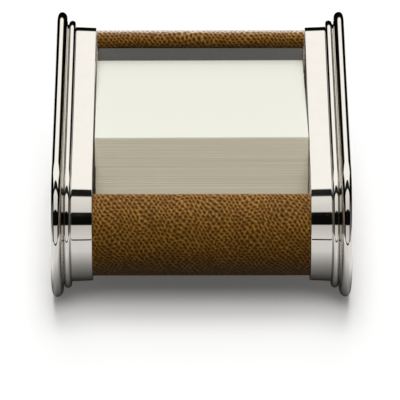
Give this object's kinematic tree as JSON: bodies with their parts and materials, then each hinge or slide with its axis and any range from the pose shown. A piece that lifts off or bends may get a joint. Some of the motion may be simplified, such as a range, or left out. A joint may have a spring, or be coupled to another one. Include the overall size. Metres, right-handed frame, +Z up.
{
  "type": "note box",
  "caption": "Open desk note box with polished stepped metal sides, a leather-wrapped half-round front and rear roll, and a stack of loose note paper that lifts out.",
  "frame": {"origin": "on the table, under the middle of the box's overall width and depth", "axes": "+X to the right seen from the front, +Y from the leather nose to the rear wall, +Z up"},
  "size_m": [0.1468, 0.1826, 0.0989],
  "materials": {
    "polished_nickel": "mirror polished, warm white",
    "brown_leather": "embossed pebble grain, satin",
    "grey_lining": "matt, short nap",
    "core_wood": "bare, planed",
    "base_board": "matt black paper-covered board",
    "glide_felt": "dense felt",
    "screw_steel": "zinc plated",
    "note_paper": "uncoated ivory"
  },
  "bodies": {
    "box": {"left_side_casting": "polished_nickel", "right_side_casting": "polished_nickel", "left_outer_panel": "polished_nickel", "right_outer_panel": "polished_nickel", "front_nose_core": "core_wood", "floor_board": "core_wood", "rear_board": "core_wood", "rear_top_rail": "core_wood", "leather_front_wrap": "brown_leather", "leather_rear_wrap": "brown_leather", "floor_lining": "grey_lining", "rear_lining": "grey_lining", "front_lining": "grey_lining", "base_cover": "base_board", "left_screw_nose_upper": "screw_steel", "left_screw_nose_lower": "screw_steel", "left_screw_floor": "screw_steel", "left_screw_rear_upper": "screw_steel", "left_screw_rear_lower": "screw_steel", "right_screw_nose_upper": "screw_steel", "right_screw_nose_lower": "screw_steel", "right_screw_floor": "screw_steel", "right_screw_rear_upper": "screw_steel", "right_screw_rear_lower": "screw_steel", "front_left_glide": "glide_felt", "front_right_glide": "glide_felt", "rear_left_glide": "glide_felt", "rear_right_glide": "glide_felt"},
    "lower_notes": {"lower_note_pack": "note_paper"},
    "upper_notes": {"upper_note_pack": "note_paper"},
    "top_leaves": {"top_notes": "note_paper"}
  },
  "joints": [
    {"name": "lower_notes_lift", "type": "slide", "parent": "box", "child": "lower_notes", "axis": [0, 0, 1], "range_m": [0, 0.1]},
    {"name": "upper_notes_lift", "type": "slide", "parent": "lower_notes", "child": "upper_notes", "axis": [0, 0, 1], "range_m": [0, 0.05]},
    {"name": "top_notes_lift", "type": "slide", "parent": "upper_notes", "child": "top_leaves", "axis": [0, 0, 1], "range_m": [0, 0.04]}
  ]
}
